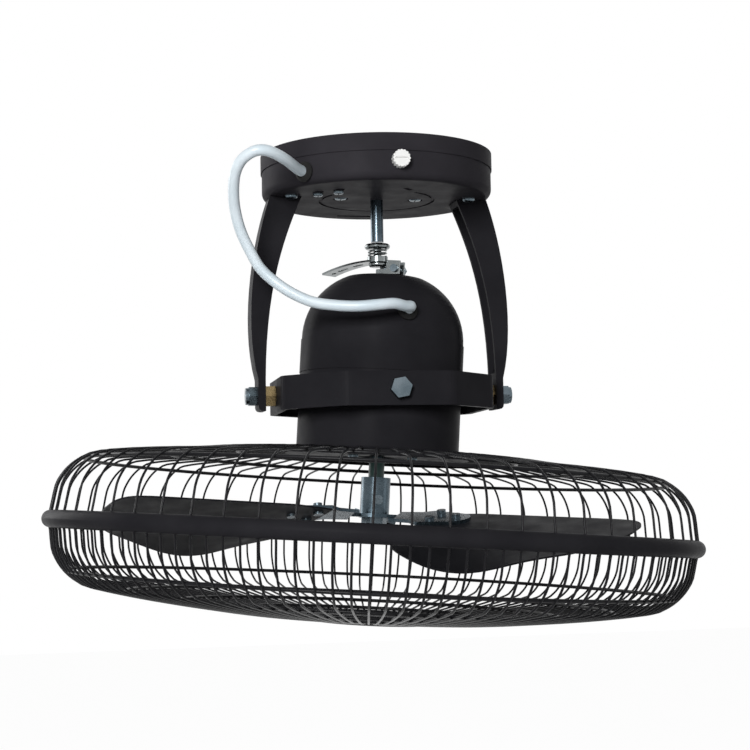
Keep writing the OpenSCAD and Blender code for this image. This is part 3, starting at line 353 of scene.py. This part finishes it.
# Distance from the guard's axis and height above the rim
front_profile = [(227.7, -2.1), (226.2, -8)] + shoulder(188.2, -8, 38, -18, -74) + [
    (174, -48.9), (148, -52.5), (124, -55.3), (100, -57.8), (70, -59.4), (43, -60)]
rear_profile = [(227.7, 2.1), (226.2, 12)] + shoulder(190.2, 12, 36, 18, 75) + [
    (180, 49), (159, 50.6), (134, 53.2), (110, 55.6), (60, 56)]
front_wires = guard_wires("front_guard_wire", front_profile, FRONT_WIRES)
rear_wires = guard_wires("rear_guard_wire", rear_profile, REAR_WIRES)
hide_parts("front_guard_wires")
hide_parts("rear_guard_wires")

# ---------------------------------------------------------------- blades
BLADES = 3
BLADE_ROWS, BLADE_COLS = 48, 26
BLADE_THICK = 0.0012
BLADE_DROP = 0.0875  # from the pivot to the blades' arms
BLADE_TURN, BLADE_PITCH = 78.6, 16
BLADE_SMOOTH = 50
ROOT_R, TIP_R, TIP_CUT = 0.042, 0.2, 0.001
ROW_MARGIN = 0.002  # share of the length left free at either end
# The broad, low side of the arm and the narrow, high one: widths at the root and at the widest
LOW_ROOT_W, LOW_W = 0.023, 0.09
HIGH_ROOT_W, HIGH_W = 0.016, 0.022
# Share of the length in which each side widens, and the power of the low side's curve
LOW_SWELL, HIGH_SWELL, LOW_CURVE = 0.35, 0.2, 0.35
# The higher the power, the squarer the corner at the tip
LOW_CORNER, HIGH_CORNER = 5, 24
# The low edge hangs in the middle: by how much, from how far off the root, and over what length
DROOP, DROOP_FROM, DROOP_OVER = 0.009, 0.009, 0.122


def blade_place(s, v):
    """Where a blade's sheet lies, at a share of its length and of its width beside its arm."""
    swell = (1 - (1 - min(1, s / LOW_SWELL)) ** 2) ** LOW_CURVE
    low = (LOW_ROOT_W + (LOW_W - LOW_ROOT_W) * swell) * math.sqrt(1 - s ** LOW_CORNER)
    high = ((HIGH_ROOT_W + (HIGH_W - HIGH_ROOT_W) * min(1, s / HIGH_SWELL))
            * math.sqrt(1 - s ** HIGH_CORNER))
    x = ROOT_R + (TIP_R - TIP_CUT - ROOT_R) * s
    y = v * (low if v < 0 else high)
    hang = math.sin(math.pi * min(1, max(0, (x - ROOT_R - DROOP_FROM) / DROOP_OVER))) ** 2
    return Vector((x, y, -DROOP * hang * (y / LOW_W) ** 2 if y < 0 else 0))


for i in range(BLADES):
    shape = bmesh.new()
    bmesh.ops.create_grid(shape, x_segments=BLADE_ROWS, y_segments=BLADE_COLS, size=1)
    for vert in shape.verts:
        along = (1 - math.cos(math.pi * (vert.co.x + 1) / 2)) / 2
        vert.co = blade_place(ROW_MARGIN + (1 - 2 * ROW_MARGIN) * along, vert.co.y)
    outwards(shape)
    lean = sum(f.normal.z for f in shape.faces)
    bmesh.ops.solidify(shape, geom=shape.faces[:],
                       thickness=BLADE_THICK if lean > 0 else -BLADE_THICK)
    outwards(shape)
    turn = Matrix.Rotation(math.radians(BLADE_TURN + 360 / BLADES * i), 4, "Z")
    pitch = Matrix.Rotation(math.radians(BLADE_PITCH), 4, "X")
    at = HEAD @ turn @ Matrix.Translation((0, 0, -BLADE_DROP)) @ pitch
    bmesh.ops.transform(shape, matrix=at, verts=shape.verts)
    blade = keep("blade_sheet_%d" % (i + 1), shape, "rotor", blade_paint,
                 BLADE_SMOOTH)
    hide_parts("blade_%d" % (i + 1))

# ---------------------------------------------------------------- crank spring
COIL_R_MM, COIL_WIRE_R, COIL_SIDES = 6.4, 0.0007, 10
COIL_START_MM, COIL_RISE_MM = -72.05, 2.05  # height of its first wire, and the rise of a turn
COIL_TURNS, TURN_STEPS = 2, 24
coil = [Vector((COIL_R_MM * math.cos(math.tau * i / TURN_STEPS),
                COIL_R_MM * math.sin(math.tau * i / TURN_STEPS),
                COIL_START_MM + COIL_RISE_MM * i / TURN_STEPS)) * MM
        for i in range(TURN_STEPS * COIL_TURNS + 1)]
spring = keep("crank_coil", tube(coil, COIL_WIRE_R, COIL_SIDES), "crank", nickel)
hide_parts("crank_spring")

# ---------------------------------------------------------------- shaft sleeve
SLEEVE_R, SLEEVE_SIDES = 0.0056, 32
SLEEVE_HEIGHTS_MM = (-45, -52, -58.9)
sleeve_line = [HEAD @ Vector((0, 0, height * MM)) for height in SLEEVE_HEIGHTS_MM]
keep("shaft_sleeve", tube(sleeve_line, SLEEVE_R, SLEEVE_SIDES), "rotor", sleeve_green)

# ---------------------------------------------------------------- studio
# Lamps: name, place, what they point at, size and watts
LAMPS = (
    ("key_light", (-0.95, -2.05, 0.45), (0, 0, -0.18), (0.6, 0.8), 48),
    ("fill_light", (1.9, -0.7, -0.1), (0, 0, -0.18), (0.7, 1.2), 1.5),
    ("back_light", (-1.4, 1.5, 0.3), (0, 0, -0.18), (1.2, 1.0), 12),
    ("low_light", (-0.3, -0.8, -0.9), (0, 0, -0.2), (0.8, 0.8), 0.4),
)
SKY_LIGHT = 0.08
BACKDROP_WHITE = 1.0
FLOOR_HEIGHT, FLOOR_HALF = -0.95, 6
FLOOR_GREY, FLOOR_ROUGH = 0.8, 0.9
# The floor's own glow whitens it, and the rest of it keeps the fan's shadow
FLOOR_GLOW, FLOOR_GLOW_SHARE = 1.19, 0.8


def seen_white(tree):
    """1 for rays that show the backdrop: the camera's own, and those in gloss and glass."""
    rays = tree.nodes.new("ShaderNodeLightPath")
    total = rays.outputs["Is Camera Ray"]
    for kind in ("Is Transmission Ray", "Is Glossy Ray"):
        most = tree.nodes.new("ShaderNodeMath")
        most.operation = "MAXIMUM"
        tree.links.new(total, most.inputs[0])
        tree.links.new(rays.outputs[kind], most.inputs[1])
        total = most.outputs[0]
    return total


def mixed(tree, share, under, over, surface):
    """Sends one shader to the surface with a share of another over it."""
    mix = tree.nodes.new("ShaderNodeMixShader")
    tree.links.new(share, mix.inputs["Fac"])
    tree.links.new(under, mix.inputs[1])
    tree.links.new(over, mix.inputs[2])
    tree.links.new(mix.outputs[0], surface)


for name, place, target, size, watts in LAMPS:
    data = bpy.data.lights.new(name, "AREA")
    data.shape = "RECTANGLE"
    data.size, data.size_y = size
    data.energy = watts
    way = (Vector(target) - Vector(place)).to_track_quat("-Z", "Y").to_matrix().to_4x4()
    place_in_scene(name, data).matrix_world = Matrix.Translation(place) @ way

world = bpy.data.worlds.new("studio")
bpy.context.scene.world = world
world.use_nodes = True
sky = world.node_tree
sky.nodes.clear()
out = sky.nodes.new("ShaderNodeOutputWorld")
soft = sky.nodes.new("ShaderNodeBackground")
white = sky.nodes.new("ShaderNodeBackground")
for background, strength in ((soft, SKY_LIGHT), (white, BACKDROP_WHITE)):
    background.inputs["Color"].default_value = (1, 1, 1, 1)
    background.inputs["Strength"].default_value = strength
mixed(sky, seen_white(sky), soft.outputs[0], white.outputs[0], out.inputs["Surface"])

floor_finish, tree, shader = new_finish("pale_floor")
shader.inputs["Base Color"].default_value = (FLOOR_GREY, FLOOR_GREY, FLOOR_GREY, 1)
shader.inputs["Roughness"].default_value = FLOOR_ROUGH
glow = tree.nodes.new("ShaderNodeEmission")
glow.inputs["Strength"].default_value = FLOOR_GLOW
share = tree.nodes.new("ShaderNodeMath")
share.operation = "MULTIPLY"
share.inputs[1].default_value = FLOOR_GLOW_SHARE
tree.links.new(seen_white(tree), share.inputs[0])
mixed(tree, share.outputs[0], shader.outputs[0], glow.outputs[0],
      tree.nodes["Material Output"].inputs["Surface"])
floor_shape = bmesh.new()
bmesh.ops.create_grid(floor_shape, x_segments=1, y_segments=1, size=FLOOR_HALF,
                      matrix=Matrix.Translation((0, 0, FLOOR_HEIGHT)))
floor = to_object("studio_floor", floor_shape, floor_finish)

bpy.context.scene.view_settings.view_transform = "Standard"
